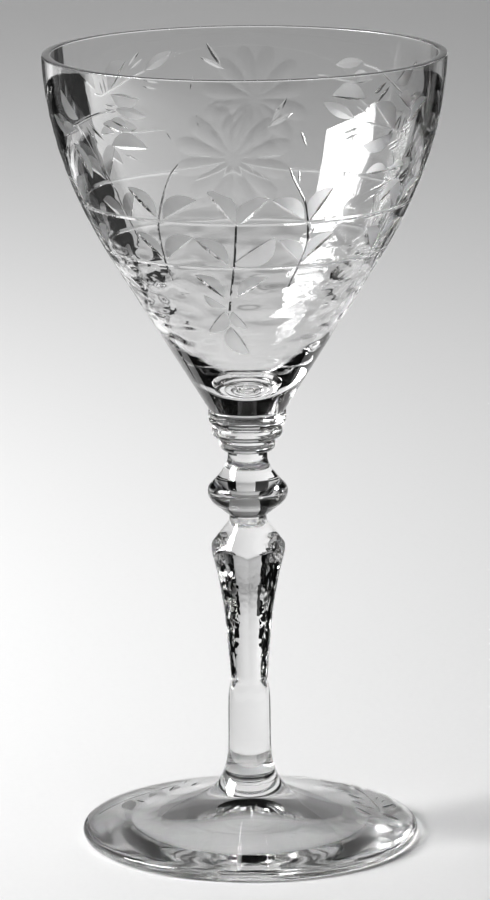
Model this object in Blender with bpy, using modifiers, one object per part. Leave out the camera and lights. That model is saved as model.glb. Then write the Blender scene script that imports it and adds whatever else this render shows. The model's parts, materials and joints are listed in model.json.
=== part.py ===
"""Cut cocktail glass: a blown bowl on three collar rings, a knop, a panelled stem and a wide foot.

Metres, +Z up. The origin is on the axis of the glass, at the plane that the foot stands on.
Run it with blender --background --python part.py, or from Blender's text editor.
"""

import math

import bpy
from mathutils import Vector
from mathutils.geometry import interpolate_bezier

MM = 0.001

# Welds: the height of each joint between two pieces, and the gap that stands for the fused seam
WELD_GAP = 0.3 * MM
FOOT_WELD = 8.3 * MM
KNOP_WELD = 58.3 * MM
LOWER_COLLAR_WELD = 69.85 * MM
MIDDLE_COLLAR_WELD = 72.15 * MM
UPPER_COLLAR_WELD = 74.5 * MM
BOWL_WELD = 77.3 * MM

# Bowl: a straight cone below, swept up to a nearly upright rim, with a thick rounded well
RIM_HEIGHT = 140.0 * MM
RIM_RADIUS = 35.0 * MM
RIM_WALL = 1.6 * MM
RIM_ROUND = 0.25 * MM
RIM_SLOPE = 0.033
CONE_TOP_HEIGHT = 104.0 * MM
CONE_TOP_RADIUS = 23.2 * MM
CONE_SLOPE = 0.6165
CONE_WALL = 1.7 * MM
WELL_HEIGHT = 81.1 * MM
WELL_PULL = 8.0 * MM
WELL_TOP_HEIGHT = 103.0 * MM
WELL_TOP_PULL = (5.8 * MM, 8.5 * MM)
LOWER_LINE_HEIGHT = 106.7 * MM
UPPER_LINE_HEIGHT = 114.9 * MM
LINE_WIDTH = 0.7 * MM
LINE_DEPTH = 0.16 * MM

# Collar rings under the bowl: outer radius, upper rounding and lower rounding
UPPER_COLLAR = (6.8 * MM, 0.35 * MM, 1.1 * MM)
MIDDLE_COLLAR = (6.15 * MM, 1.0 * MM, 1.0 * MM)
LOWER_COLLAR = (4.9 * MM, 0.7 * MM, 1.1 * MM)

# Knop: a bell that widens from a narrow neck to a rounded edge; each point is (radius, height)
KNOP_NECK_FOOT = (3.5 * MM, 68.5 * MM)
KNOP_NECK_PULL = (3.5 * MM, 67.3 * MM)
KNOP_BELL_PULL = (5.0 * MM, 65.3 * MM)
KNOP_BELL_FOOT = (6.4 * MM, 63.95 * MM)
KNOP_EDGE_PULL = (7.2 * MM, 63.2 * MM)
KNOP_UNDER_PULL = (7.45 * MM, 61.9 * MM)
KNOP_UNDER = (6.15 * MM, 60.5 * MM)
KNOP_SEAT_RADIUS = 3.4 * MM

# Stem: a turned blank whose upper half is pressed into flat panels
STEM_NECK_RADIUS = 3.3 * MM
SHOULDER_TOP = 57.2 * MM
SHOULDER_RADIUS = 7.3 * MM
SHOULDER_BREAK = 52.1 * MM
PANEL_COUNT = 6
PANEL_TOP = 52.0 * MM
PANEL_TOP_APOTHEM = 6.53 * MM
PANEL_TOP_SLOPE = 0.27
PANEL_FOOT = 28.0 * MM
PANEL_FOOT_APOTHEM = 3.36 * MM
PANEL_FOOT_SLOPE = 0.07
PANEL_RUNOUT = 10.0 * MM
PANEL_CLEARANCE = 5.0 * MM
BLANK_ALLOWANCE = 1.02
SHANK_RADIUS = 3.82 * MM
FLARE_TOP = 17.0 * MM
FLARE_UPPER_PULL = (3.82 * MM, 13.0 * MM)
FLARE_LOWER_PULL = (4.6 * MM, 10.6 * MM)
FLARE_RADIUS = 6.7 * MM

# Foot: a low trumpet with a rounded edge, a flat resting ring and a conical hollow beneath
FOOT_RADIUS = 29.8 * MM
FOOT_EDGE_ROUND = 1.0 * MM
FOOT_INNER_PULL = (11.0 * MM, 5.6 * MM)
FOOT_OUTER_PULL = (20.0 * MM, 3.3 * MM)
FOOT_BRIM = (28.9 * MM, 2.0 * MM)
RESTING_OUTER = 28.4 * MM
RESTING_INNER = 20.6 * MM
HOLLOW_HEIGHT = 3.8 * MM
HOLLOW_NOSE = 2.0 * MM
HOLLOW_SWEEP = 1.25

# Facets: sides of the wide and the slender pieces, and steps along a curve and round an edge
WIDE_SIDES = 60
SLIM_SIDES = 36
CURVE_STEPS = 7
EDGE_STEPS = 4
MERGE_DISTANCE = 0.00001

# Clear glass, faintly grey
GLASS_COLOUR = (0.95, 0.96, 0.96, 1.0)
GLASS_ROUGHNESS = 0.02
GLASS_IOR = 1.52


def clear_scene():
    for thing in list(bpy.data.objects):
        bpy.data.objects.remove(thing, do_unlink=True)


def new_collection(name):
    collection = bpy.data.collections.new(name)
    bpy.context.scene.collection.children.link(collection)
    return collection


def clear_glass(name):
    material = bpy.data.materials.new(name)
    material.use_nodes = True
    shader = material.node_tree.nodes["Principled BSDF"]
    shader.inputs["Base Color"].default_value = GLASS_COLOUR
    shader.inputs["Roughness"].default_value = GLASS_ROUGHNESS
    shader.inputs["Metallic"].default_value = 0.0
    shader.inputs["IOR"].default_value = GLASS_IOR
    shader.inputs["Transmission Weight"].default_value = 1.0
    return material


def hermite(start, start_slope, end, end_slope, span, share):
    """Value at share (0 to 1) of a cubic from start to end whose slopes at the ends are given."""
    rest = 1.0 - share
    from_start = start * (1.0 + 2.0 * share) + start_slope * span * share
    from_end = end * (3.0 - 2.0 * share) - end_slope * span * rest
    return from_start * rest * rest + from_end * share * share


def steps_between(start, end, count):
    return [start + (end - start) * index / count for index in range(count + 1)]


def bezier(start, start_pull, end_pull, end):
    """Profile points, (radius, height), along one cubic curve."""
    knots = [Vector(point) for point in (start, start_pull, end_pull, end)]
    return [(point.x, point.y) for point in interpolate_bezier(*knots, CURVE_STEPS)]


def arc(centre_radius, centre_height, radius, start_degrees, end_degrees):
    """Profile points on a circular arc; 0 degrees points away from the axis and 90 points up."""
    points = []
    for degrees in steps_between(start_degrees, end_degrees, EDGE_STEPS):
        angle = math.radians(degrees)
        points.append((centre_radius + radius * math.cos(angle), centre_height + radius * math.sin(angle)))
    return points


def turned(name, profile, base, sides, collection):
    """A solid of revolution, with its object's origin on the axis at the height called base."""
    mesh = bpy.data.meshes.new(name)
    vertices = [(radius, 0.0, height - base) for radius, height in profile]
    edges = [(index, index + 1) for index in range(len(vertices) - 1)]
    mesh.from_pydata(vertices, edges, [])
    solid = bpy.data.objects.new(name, mesh)
    solid.location.z = base
    collection.objects.link(solid)
    screw = solid.modifiers.new("turn", "SCREW")
    screw.axis = "Z"
    screw.angle = math.tau
    screw.steps = sides
    screw.render_steps = sides
    screw.use_smooth_shade = True
    screw.use_merge_vertices = True
    screw.merge_threshold = MERGE_DISTANCE
    return solid


def bowl_radius(height):
    """Outer radius of the bowl at a height."""
    if height <= CONE_TOP_HEIGHT:
        return CONE_TOP_RADIUS - CONE_SLOPE * (CONE_TOP_HEIGHT - height)
    span = RIM_HEIGHT - CONE_TOP_HEIGHT
    share = (height - CONE_TOP_HEIGHT) / span
    return hermite(CONE_TOP_RADIUS, CONE_SLOPE, RIM_RADIUS, RIM_SLOPE, span, share)


def bowl_wall(height):
    """Thickness of the bowl's wall, measured level, at a height above the well."""
    share = (height - WELL_TOP_HEIGHT) / (RIM_HEIGHT - WELL_TOP_HEIGHT)
    return CONE_WALL + (RIM_WALL - CONE_WALL) * share


def outer_run(start, end):
    """Points down the outside of the bowl between two heights, without the two ends."""
    return [(bowl_radius(height), height) for height in steps_between(start, end, EDGE_STEPS)[1:-1]]


def cut_line(height):
    """The upper edge, root and lower edge of a line cut round the bowl."""
    upper = height + LINE_WIDTH / 2
    lower = height - LINE_WIDTH / 2
    root = (bowl_radius(height) - LINE_DEPTH, height)
    return [(bowl_radius(upper), upper), root, (bowl_radius(lower), lower)]


def bowl_profile():
    """From the middle of the well, up the inside, over the rim and down the outside."""
    well_radius = bowl_radius(WELL_TOP_HEIGHT) - bowl_wall(WELL_TOP_HEIGHT)
    top_pull = (well_radius - WELL_TOP_PULL[0], WELL_TOP_HEIGHT - WELL_TOP_PULL[1])
    well = bezier((0.0, WELL_HEIGHT), (WELL_PULL, WELL_HEIGHT), top_pull, (well_radius, WELL_TOP_HEIGHT))
    rim_centre = RIM_HEIGHT - RIM_ROUND
    rim_outer = bowl_radius(rim_centre)
    inner_heights = steps_between(WELL_TOP_HEIGHT, rim_centre, CURVE_STEPS)[1:-1]
    inner = [(bowl_radius(height) - bowl_wall(height), height) for height in inner_heights]
    rim = arc(rim_outer - RIM_WALL + RIM_ROUND, rim_centre, RIM_ROUND, 180.0, 90.0)
    rim += arc(rim_outer - RIM_ROUND, rim_centre, RIM_ROUND, 90.0, 0.0)
    brim = outer_run(rim_centre, UPPER_LINE_HEIGHT) + cut_line(UPPER_LINE_HEIGHT)
    middle = outer_run(UPPER_LINE_HEIGHT, LOWER_LINE_HEIGHT) + cut_line(LOWER_LINE_HEIGHT)
    seat = BOWL_WELD + WELD_GAP / 2
    cone = [(CONE_TOP_RADIUS, CONE_TOP_HEIGHT), (bowl_radius(seat), seat), (0.0, seat)]
    return well + inner + rim + brim + middle + cone


def collar_profile(size, top_weld, bottom_weld):
    radius, upper_round, lower_round = size
    top = top_weld - WELD_GAP / 2
    bottom = bottom_weld + WELD_GAP / 2
    upper = arc(radius - upper_round, top - upper_round, upper_round, 90.0, 0.0)
    lower = arc(radius - lower_round, bottom + lower_round, lower_round, 0.0, -90.0)
    return [(0.0, top)] + upper + lower + [(0.0, bottom)]


def knop_profile():
    top = LOWER_COLLAR_WELD - WELD_GAP / 2
    bottom = KNOP_WELD + WELD_GAP / 2
    neck = [(0.0, top), (KNOP_NECK_FOOT[0], top)]
    bell = bezier(KNOP_NECK_FOOT, KNOP_NECK_PULL, KNOP_BELL_PULL, KNOP_BELL_FOOT)
    edge = bezier(KNOP_BELL_FOOT, KNOP_EDGE_PULL, KNOP_UNDER_PULL, KNOP_UNDER)
    return neck + bell + edge[1:] + [(KNOP_SEAT_RADIUS, bottom), (0.0, bottom)]


def corner_radius(apothem):
    """Distance from the axis to the edge between two panels whose faces are apothem away."""
    return apothem / math.cos(math.pi / PANEL_COUNT)


def panel_corner(height):
    """Distance from the axis to the edge between two panels at a height."""
    span = PANEL_TOP - PANEL_FOOT
    share = (height - PANEL_FOOT) / span
    foot = (PANEL_FOOT_APOTHEM, PANEL_FOOT_SLOPE)
    top = (PANEL_TOP_APOTHEM, PANEL_TOP_SLOPE)
    return corner_radius(hermite(*foot, *top, span, share))


def stem_profile():
    """The turned blank, from its neck down to its flared base."""
    top = KNOP_WELD - WELD_GAP / 2
    bottom = FOOT_WELD + WELD_GAP / 2
    neck = [(0.0, top), (STEM_NECK_RADIUS, top), (STEM_NECK_RADIUS, SHOULDER_TOP)]
    shoulder = [(SHOULDER_RADIUS, SHOULDER_BREAK)]
    taper_heights = steps_between(PANEL_TOP, PANEL_FOOT, CURVE_STEPS)[1:-1]
    taper = [(panel_corner(height) * BLANK_ALLOWANCE, height) for height in taper_heights]
    shank = [(SHANK_RADIUS, PANEL_FOOT)]
    flare_top = (SHANK_RADIUS, FLARE_TOP)
    flare = bezier(flare_top, FLARE_UPPER_PULL, FLARE_LOWER_PULL, (FLARE_RADIUS, bottom))
    return neck + shoulder + taper + shank + flare + [(0.0, bottom)]


def panel_profile():
    """The corner line of the form that the stem is pressed to, clear of its neck and its base."""
    clear_top = KNOP_WELD + PANEL_CLEARANCE
    clear_bottom = FOOT_WELD - PANEL_CLEARANCE
    top_apothem = PANEL_TOP_APOTHEM + PANEL_TOP_SLOPE * (clear_top - PANEL_TOP)
    top = [(0.0, clear_top), (corner_radius(top_apothem), clear_top)]
    faces = [(panel_corner(height), height) for height in steps_between(PANEL_TOP, PANEL_FOOT, CURVE_STEPS)]
    runout = [(FLARE_RADIUS, PANEL_FOOT - PANEL_RUNOUT)]
    wide = FLARE_RADIUS + PANEL_CLEARANCE
    return top + faces + runout + [(wide, FLARE_TOP), (wide, clear_bottom), (0.0, clear_bottom)]


def press_panels(stem, cutters):
    """Gives the stem its panels; an edge between two panels faces the front, along -Y."""
    form = turned("stem_panel_form", panel_profile(), FOOT_WELD, PANEL_COUNT, cutters)
    form.rotation_euler.z = math.pi / PANEL_COUNT
    form.hide_render = True
    form.display_type = "WIRE"
    press = stem.modifiers.new("panels", "BOOLEAN")
    press.operation = "INTERSECT"
    press.solver = "EXACT"
    press.object = form
    return form


def hollow_height(radius):
    """Height of the hollow under the foot: a cone with a rounded nose."""
    reach = math.hypot(radius, HOLLOW_NOSE) - HOLLOW_NOSE
    whole = math.hypot(RESTING_INNER, HOLLOW_NOSE) - HOLLOW_NOSE
    return HOLLOW_HEIGHT * (1.0 - reach / whole) ** HOLLOW_SWEEP


def foot_profile():
    top = FOOT_WELD - WELD_GAP / 2
    upper = bezier((FLARE_RADIUS, top), FOOT_INNER_PULL, FOOT_OUTER_PULL, FOOT_BRIM)
    edge = arc(FOOT_RADIUS - FOOT_EDGE_ROUND, FOOT_EDGE_ROUND, FOOT_EDGE_ROUND, 60.0, -60.0)
    resting = [(RESTING_OUTER, 0.0), (RESTING_INNER, 0.0)]
    hollow_radii = steps_between(RESTING_INNER, 0.0, CURVE_STEPS)[1:]
    hollow = [(radius, hollow_height(radius)) for radius in hollow_radii]
    return [(0.0, top)] + upper + edge + resting + hollow


def build():
    clear_scene()
    glass = new_collection("cocktail_glass")
    cutters = new_collection("cutters")
    axis = bpy.data.objects.new("glass_axis", None)
    glass.objects.link(axis)
    upper = collar_profile(UPPER_COLLAR, BOWL_WELD, UPPER_COLLAR_WELD)
    middle = collar_profile(MIDDLE_COLLAR, UPPER_COLLAR_WELD, MIDDLE_COLLAR_WELD)
    lower = collar_profile(LOWER_COLLAR, MIDDLE_COLLAR_WELD, LOWER_COLLAR_WELD)
    stem = turned("stem", stem_profile(), FOOT_WELD, SLIM_SIDES, glass)
    pieces = [
        turned("bowl", bowl_profile(), BOWL_WELD, WIDE_SIDES, glass),
        turned("upper_collar_ring", upper, UPPER_COLLAR_WELD, SLIM_SIDES, glass),
        turned("middle_collar_ring", middle, MIDDLE_COLLAR_WELD, SLIM_SIDES, glass),
        turned("lower_collar_ring", lower, LOWER_COLLAR_WELD, SLIM_SIDES, glass),
        turned("knop", knop_profile(), KNOP_WELD, SLIM_SIDES, glass),
        stem,
        turned("foot", foot_profile(), 0.0, WIDE_SIDES, glass),
    ]
    press_panels(stem, cutters).parent = axis
    for piece in pieces:
        piece.parent = axis
        piece.data.materials.append(clear_glass(piece.name + "_glass"))


build()
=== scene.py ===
"""Looks of the cut cocktail glass: blown and pressed glass, wheel-cut flowers and leaves, a plain studio.

Metres, +Z up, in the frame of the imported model. The front of the glass faces -Y.
"""

import json
import math
import random

import bmesh
import bpy
import numpy as np
from bpy.props import FloatProperty, FloatVectorProperty, IntProperty, PointerProperty
from mathutils import Matrix, Vector
from mathutils.geometry import interpolate_bezier

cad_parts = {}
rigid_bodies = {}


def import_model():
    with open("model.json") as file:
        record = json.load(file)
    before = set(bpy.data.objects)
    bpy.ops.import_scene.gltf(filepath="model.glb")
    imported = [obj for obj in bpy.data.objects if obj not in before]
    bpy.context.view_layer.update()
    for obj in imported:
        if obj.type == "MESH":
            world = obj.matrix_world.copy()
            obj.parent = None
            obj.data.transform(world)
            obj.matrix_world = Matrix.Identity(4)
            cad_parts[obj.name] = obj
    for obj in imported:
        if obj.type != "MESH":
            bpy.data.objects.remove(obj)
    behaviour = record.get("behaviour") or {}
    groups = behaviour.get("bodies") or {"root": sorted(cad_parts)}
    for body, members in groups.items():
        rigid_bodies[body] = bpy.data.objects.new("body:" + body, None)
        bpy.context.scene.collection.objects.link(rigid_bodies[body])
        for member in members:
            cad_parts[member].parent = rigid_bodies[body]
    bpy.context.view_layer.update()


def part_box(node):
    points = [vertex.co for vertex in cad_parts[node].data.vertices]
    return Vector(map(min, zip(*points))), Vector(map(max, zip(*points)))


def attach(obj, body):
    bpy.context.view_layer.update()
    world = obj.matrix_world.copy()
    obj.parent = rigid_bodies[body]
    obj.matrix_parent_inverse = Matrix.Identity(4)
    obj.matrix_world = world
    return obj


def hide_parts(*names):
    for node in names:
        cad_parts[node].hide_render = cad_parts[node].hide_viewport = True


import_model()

bl_info = {
    "name": "Cut Cocktail Glass",
    "version": (1, 0, 0),
    "blender": (4, 5, 0),
    "location": "3D View > Sidebar > Cut Glass",
    "description": "Builds a wheel-cut cocktail glass on its packed frame, and a plain studio around it",
    "category": "Object",
}

MM = 0.001


def weld_height(lower_node, upper_node):
    """Height of a fused joint: halfway across the gap that the frame keeps between two nodes."""
    return (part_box(lower_node)[1].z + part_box(upper_node)[0].z) / 2


# Heights of the fused joints, from the frame
FOOT_WELD = weld_height("foot", "stem")
KNOP_WELD = weld_height("stem", "knop")
LOWER_COLLAR_WELD = weld_height("knop", "lower_collar_ring")
MIDDLE_COLLAR_WELD = weld_height("lower_collar_ring", "middle_collar_ring")
UPPER_COLLAR_WELD = weld_height("middle_collar_ring", "upper_collar_ring")
BOWL_WELD = weld_height("upper_collar_ring", "bowl")
RIM_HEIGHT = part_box("bowl")[1].z

# Bowl: a straight cone below, swept up to a nearly upright rim, with a thick rounded well, two cut lines
# and level ripples low down
RIM_SLOPE = 0.033
RIM_ROUND = 0.25 * MM
RIM_FACING = 0.8
BELOW_RIM_STEPS = (0.2 * MM, 0.05 * MM)
CONE_TOP_HEIGHT = 104.0 * MM
CONE_TOP_RADIUS = 23.2 * MM
CONE_SLOPE = 0.6165
WELL_HEIGHT = 81.1 * MM
WELL_PULL = 8.0 * MM
WELL_TOP_HEIGHT = 103.0 * MM
WELL_TOP_PULL = (5.8 * MM, 8.5 * MM)
CHILL_HEIGHTS = (112.0 * MM, 104.0 * MM, 95.0 * MM, 88.0 * MM)
CHILL_FINENESS = 200.0
CHILL_STRETCH = (1.0, 1.0, 2.4)
LINE_HEIGHTS = (106.7 * MM, 114.9 * MM)
BOWL_SEAT_RADIUS = 6.45 * MM

# Collar rings from the top: outer radius, upper rounding and lower rounding
COLLARS = {
    "upper_collar": (6.8 * MM, 0.35 * MM, 1.1 * MM),
    "middle_collar": (6.15 * MM, 1.0 * MM, 1.0 * MM),
    "lower_collar": (4.9 * MM, 0.7 * MM, 1.1 * MM),
}

# Welds above, between and below the rings: (height, radius)
KNOP_NECK_RADIUS = 3.5 * MM
COLLAR_WELDS = (
    (BOWL_WELD, BOWL_SEAT_RADIUS),
    (UPPER_COLLAR_WELD, 5.1 * MM),
    (MIDDLE_COLLAR_WELD, 4.17 * MM),
    (LOWER_COLLAR_WELD, KNOP_NECK_RADIUS),
)

# Knop: a bell that widens from a narrow neck to a rounded edge; each point is (radius, height)
KNOP_NECK_FOOT = (KNOP_NECK_RADIUS, 68.5 * MM)
KNOP_NECK_PULL = (KNOP_NECK_RADIUS, 67.3 * MM)
KNOP_BELL_PULL = (5.0 * MM, 65.3 * MM)
KNOP_BELL_FOOT = (6.4 * MM, 63.95 * MM)
KNOP_EDGE_PULL = (7.2 * MM, 63.2 * MM)
KNOP_UNDER_PULL = (7.45 * MM, 61.9 * MM)
KNOP_UNDER = (6.15 * MM, 60.5 * MM)
KNOP_SEAT_RADIUS = 3.3 * MM
KNOP_STEP = 0.5 * MM

# Stem: a turned blank whose upper half is pressed into flat panels, with drawn-out ripples down them
SHOULDER_TOP = 57.2 * MM
SHOULDER_BREAK = 52.1 * MM
PANEL_TOP = 52.0 * MM
PANEL_TOP_APOTHEM = 6.53 * MM
PANEL_TOP_SLOPE = 0.27
PANEL_FOOT = 28.0 * MM
PANEL_FOOT_APOTHEM = 3.36 * MM
PANEL_FOOT_SLOPE = 0.07
PANEL_RUNOUT = 10.0 * MM
PANEL_REACH = 0.3
BLANK_ALLOWANCE = 1.02
BLANK_STEP = 0.3 * MM
SHANK_RADIUS = 3.82 * MM
DRAG_HEIGHTS = (56.0 * MM, 51.0 * MM, 32.0 * MM, 27.0 * MM)
DRAG_FINENESS = 1400.0
DRAG_STRETCH = (1.0, 1.0, 0.6)
FLARE_TOP = 17.0 * MM
FLARE_UPPER_PULL = (3.82 * MM, 13.0 * MM)
FLARE_LOWER_PULL = (4.6 * MM, 10.6 * MM)
FLARE_RADIUS = 6.7 * MM

# Foot: a low trumpet with a rounded edge, a flat resting ring and a conical hollow beneath
FOOT_EDGE_ROUND = 1.0 * MM
FOOT_EDGE_SWEEP = 60.0
FOOT_INNER_PULL = (11.0 * MM, 5.6 * MM)
FOOT_OUTER_PULL = (20.0 * MM, 3.3 * MM)
FOOT_BRIM = (28.9 * MM, 2.0 * MM)
RESTING_OUTER = 28.4 * MM
RESTING_INNER = 20.6 * MM
HOLLOW_HEIGHT = 3.8 * MM
HOLLOW_NOSE = 2.0 * MM
HOLLOW_SWEEP = 1.25
RESTING_STEP = 1.5 * MM

# How much deeper the foot is tinted than the bowl, as a power of the tint: painted shade that darkens the
# foot
FOOT_SHADE_POWER = 1.9

# Facets: steps round the axis, along a curve and round an edge
WIDE_STEPS = 224
SLIM_STEPS = 144
STEM_STEPS = 288
CURVE_STEPS = 20
EDGE_STEPS = 10
MERGE_DISTANCE = 0.001 * MM
SHARP_ANGLE = math.radians(24.0)

# Half the run over which the slope of the bowl and of the foot is measured
BOWL_PROBE = 0.05 * MM
FOOT_PROBE = 0.3 * MM

# Leeway for a face of the bowl's outside: past its two ends, and off its swept radius
WALL_MARGIN = 0.004 * MM
WALL_GAP = 0.016 * MM

# Material slots on every piece: polished wall, satin lobes, bright grooves, fluted petals, unseen welds,
# the top of the rim, which looks edge-on down the wall and is tinted near black as painted shade, and the
# ring worn by standing, which is also tinted darker as painted contact shade
WALL, SATIN, GROOVE, FLUTE, WELD, EDGE, WORN_SHADED = range(7)
CUTS = (SATIN, GROOVE, FLUTE)

# Leaf cut: the angle of its steep side, how far its lobe and the wheel's turn reach past the leaf, how high
# the wheel clears the bottom of the cut, in depths, how far its lid lies above that, and its steps
STEEP_SIDE = math.radians(40.0)
LOBE_OVER = 1.6
TURN_OVER = 1.25
LEAF_CLEAR = 3.0
LEAF_LID = 1.01
LEAF_STEPS = 12

# A short cut is a leaf narrowed and made shallower
TICK_SCALE = (1.0, 0.5, 0.7)

# Steps of a stalk between two of its points
STALK_STEPS = 7

# Unevenness of the hand: a leaf's length, and the turn of a leaf or petal and of a short cut, in degrees
HAND_LENGTH = (0.97, 1.05)
HAND_TURN = 2.0
HAND_TICK_TURN = 4.0

# Which side of its straight cut a leaf swells to, seen from its base to its tip
LEFT, RIGHT, BOTH = 1, -1, 0

# The sprig under a flower and at its sides: leaves from base to tip, short cuts from end to end, and points
# along stalks, each as (degrees round the bowl, height in mm)
SPRIG_LEAVES = (
    ((-1.0, 115.2), (-8.7, 121.0), RIGHT),
    ((1.1, 114.6), (11.2, 119.6), LEFT),
    ((-3.9, 107.5), (-15.0, 112.0), RIGHT),
    ((-0.8, 107.5), (13.4, 112.4), RIGHT),
    ((-6.6, 101.0), (-18.5, 105.2), RIGHT),
    ((-0.4, 101.2), (13.2, 104.8), LEFT),
    ((-6.2, 99.0), (-16.2, 101.4), LEFT),
    ((-7.2, 98.3), (-17.9, 94.2), LEFT),
    ((-4.0, 98.3), (4.3, 95.0), RIGHT),
    ((-6.0, 95.4), (5.2, 90.0), RIGHT),
    ((-27.5, 115.6), (-36.1, 120.6), RIGHT),
    ((-24.8, 115.4), (-11.7, 119.2), LEFT),
    ((-27.3, 108.0), (-14.9, 112.4), LEFT),
    ((-30.0, 108.0), (-38.5, 112.4), RIGHT),
    ((25.0, 115.2), (31.9, 121.1), LEFT),
    ((22.7, 115.4), (11.7, 119.3), RIGHT),
    ((24.2, 107.5), (15.0, 111.8), RIGHT),
    ((26.6, 108.2), (35.4, 112.6), LEFT),
)
SPRIG_STALKS = (
    ((0.3, 114.6), (-1.0, 107.5), (-3.6, 101.0), (-5.6, 97.0)),
    ((-16.5, 125.4), (-20.3, 122.6), (-26.8, 115.0), (-28.2, 111.9), (-29.3, 107.5), (-29.4, 103.7)),
    ((16.6, 124.9), (18.3, 122.7), (22.5, 118.6), (24.6, 114.8), (25.6, 109.9), (22.0, 102.8)),
)
SPRIG_TICKS = (
    ((25.9, 111.4), (27.4, 114.1)),
)

# The two sprays that take turns between the flowers
LEFT_SPRAY_STALKS = (
    ((-15.7, 128.9), (-7.4, 130.7), (2.5, 133.0), (9.7, 133.9)),
    ((11.3, 130.5), (16.8, 130.6), (22.4, 131.2)),
)
LEFT_SPRAY_LEAVES = (
    ((9.8, 134.3), (20.0, 133.4), BOTH),
    ((7.5, 132.2), (13.5, 131.2), LEFT),
    ((4.3, 131.4), (11.2, 130.3), LEFT),
    ((6.3, 127.7), (19.5, 127.9), LEFT),
    ((-6.6, 131.4), (-15.4, 136.0), LEFT),
    ((-9.0, 129.6), (-19.0, 127.4), RIGHT),
    ((-13.0, 126.8), (-6.8, 121.2), LEFT),
    ((-15.4, 128.2), (-24.5, 131.0), BOTH),
)
LEFT_SPRAY_TICKS = (
    ((22.6, 131.3), (25.9, 131.4)),
    ((25.8, 131.1), (27.4, 129.7)),
    ((-2.0, 131.2), (3.4, 128.6)),
    ((-3.6, 130.6), (1.0, 127.6)),
    ((-16.0, 126.4), (-20.4, 122.6)),
    ((-17.4, 126.2), (-23.4, 123.4)),
)
RIGHT_SPRAY_STALKS = (
    ((-9.5, 132.6), (-0.3, 131.0), (6.2, 129.8), (10.1, 129.3), (13.4, 129.8)),
)
RIGHT_SPRAY_LEAVES = (
    ((-9.5, 132.8), (-19.4, 135.8), BOTH),
    ((6.2, 129.8), (-2.7, 134.8), RIGHT),
    ((6.0, 129.2), (-5.4, 127.9), LEFT),
    ((6.5, 122.7), (-2.8, 122.7), RIGHT),
    ((7.5, 122.6), (15.2, 123.0), LEFT),
    ((7.5, 117.0), (16.2, 120.2), LEFT),
    ((13.0, 130.4), (21.4, 134.2), LEFT),
)
RIGHT_SPRAY_TICKS = (
    ((-3.6, 133.8), (-8.1, 136.1)),
    ((-4.6, 133.2), (-9.2, 134.9)),
    ((8.8, 132.3), (7.7, 129.5)),
    ((10.6, 131.9), (9.6, 129.5)),
    ((4.3, 127.1), (9.4, 127.8)),
    ((4.9, 126.4), (10.2, 127.0)),
    ((-13.3, 130.3), (-7.6, 131.0)),
    ((-12.6, 129.2), (-7.4, 130.0)),
    ((0.0, 117.5), (5.0, 118.8)),
    ((0.9, 119.4), (8.1, 120.3)),
)

# Short cuts beside each flower
FLOWER_TICKS = (
    ((9.0, 131.8), (17.1, 134.6)),
    ((10.2, 132.6), (15.3, 137.0)),
    ((19.2, 131.4), (21.2, 128.6)),
    ((19.4, 124.6), (20.0, 122.2)),
)

# The spray on top of the foot: (degrees round the foot, radius in mm)
FIRST_SPRAY = 117.0
SPRAY_TURN = 120.0
FOOT_SPRAY_STALKS = (
    ((-23.0, 23.2), (-6.0, 23.5), (11.6, 25.5), (25.0, 27.4)),
)
FOOT_SPRAY_LEAVES = (
    ((-5.0, 22.6), (5.0, 20.6), LEFT),
    ((-19.8, 22.5), (-8.2, 19.4), LEFT),
    ((-31.6, 21.9), (-22.0, 18.8), LEFT),
    ((-15.0, 24.0), (-8.1, 27.4), RIGHT),
    ((-25.9, 23.5), (-30.3, 26.5), BOTH),
    ((6.0, 24.4), (26.0, 21.2), BOTH),
)
FOOT_SPRAY_TICKS = (
    ((-3.0, 24.7), (1.4, 26.3)),
    ((-7.5, 25.0), (-3.1, 26.6)),
    ((8.0, 22.6), (14.0, 20.0)),
)

# Flower: where its middle lies, in degrees round the bowl and mm of height, where its petals start and end,
# how wide they are at the root, where they are widest, and how far the ball that cuts them stands out
FLOWER_PLACE = (0.0, 126.8)
FIRST_REPEAT = -3.5
PETAL_START = 1.2 * MM
PETAL_END = 10.2 * MM
PETAL_ROOT = 0.35
PETAL_WIDEST = 0.7
PETAL_SINK = 0.8
PETAL_STEPS = (28, 18)

# The flowers with a sprig under them: none shows through the glass at the back
SPRIG_REPEATS = (0, 1, 3)


# How far a length may be set, as shares of its first value
LENGTH_SPAN = (0.5, 2.0)


def setting(kind, name, description, default, least, most, **more):
    return kind(name=name, description=description, default=default, min=least, max=most, **more)


def length_setting(name, description, default):
    least, most = (default * share for share in LENGTH_SPAN)
    return setting(FloatProperty, name, description, default, least, most, unit="LENGTH", precision=5)


def factor_setting(name, description, default, least=0.0, most=1.0):
    return setting(FloatProperty, name, description, default, least, most, subtype="FACTOR", precision=4)


def grey_setting(name, description, grey):
    colour = (grey, grey, grey, 1.0)
    return setting(FloatVectorProperty, name, description, colour, 0.0, 1.0, size=4, subtype="COLOR")


def count_setting(*values):
    return setting(IntProperty, *values)


def power_setting(name, description, default):
    return FloatProperty(name=name, description=description, default=default, min=0.0, unit="POWER")


class BowlSettings(bpy.types.PropertyGroup):
    """Sizes of the bowl and of its cutting."""

    rim_radius: length_setting("Rim radius", "Outside radius of the rim", 35.0 * MM)
    rim_wall: length_setting("Rim wall", "Thickness of the wall at the rim", 1.6 * MM)
    cone_wall: length_setting("Cone wall", "Thickness of the wall where it meets the well", 1.7 * MM)
    repeats: count_setting("Repeats", "Flowers round the bowl", 4, 1, 6)


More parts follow.
